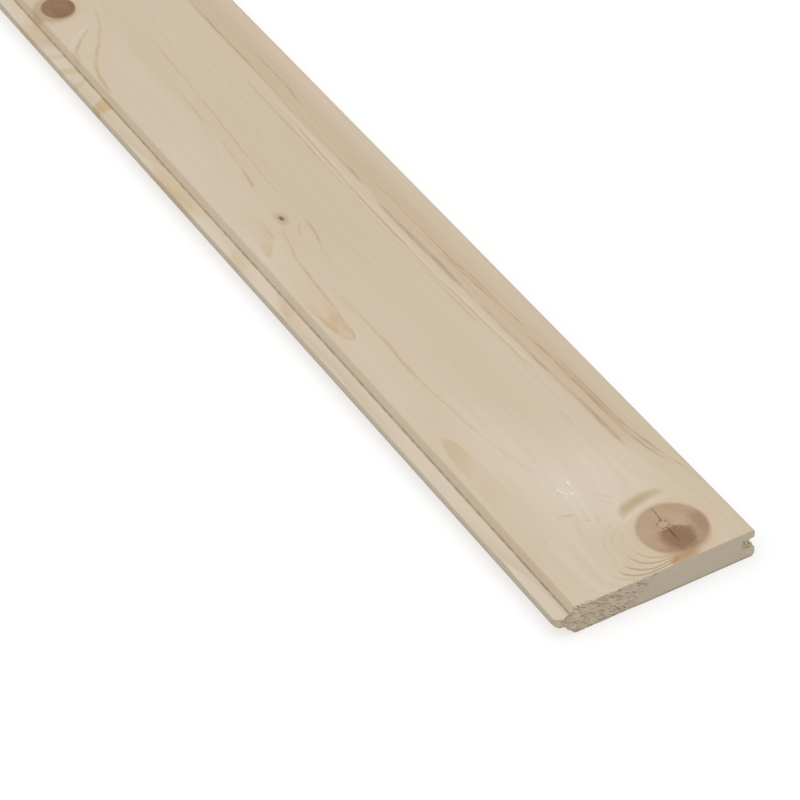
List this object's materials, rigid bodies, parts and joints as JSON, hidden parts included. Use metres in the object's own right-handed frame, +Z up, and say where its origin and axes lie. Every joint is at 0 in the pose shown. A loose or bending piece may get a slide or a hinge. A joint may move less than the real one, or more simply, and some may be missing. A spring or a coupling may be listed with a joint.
{
  "type": "tongue and groove board",
  "caption": "Softwood board with a tongue along one long edge and a groove along the other, a slanted shoulder that leaves a shadow line between laid boards, and a plain flat back.",
  "frame": {"origin": "under the middle of the board, on the level of its flat back, halfway between the tongue's tip and the lower lip's edge", "axes": "+X across the board towards the groove, -X towards the tongue, +Y along the board away from the end that the picture shows, +Z up from the back to the face"},
  "size_m": [0.119, 2.4, 0.018],
  "materials": {
    "softwood": "planed, bare and unsealed, with sawn ends"
  },
  "bodies": {
    "root": {"board": "softwood"}
  },
  "joints": []
}
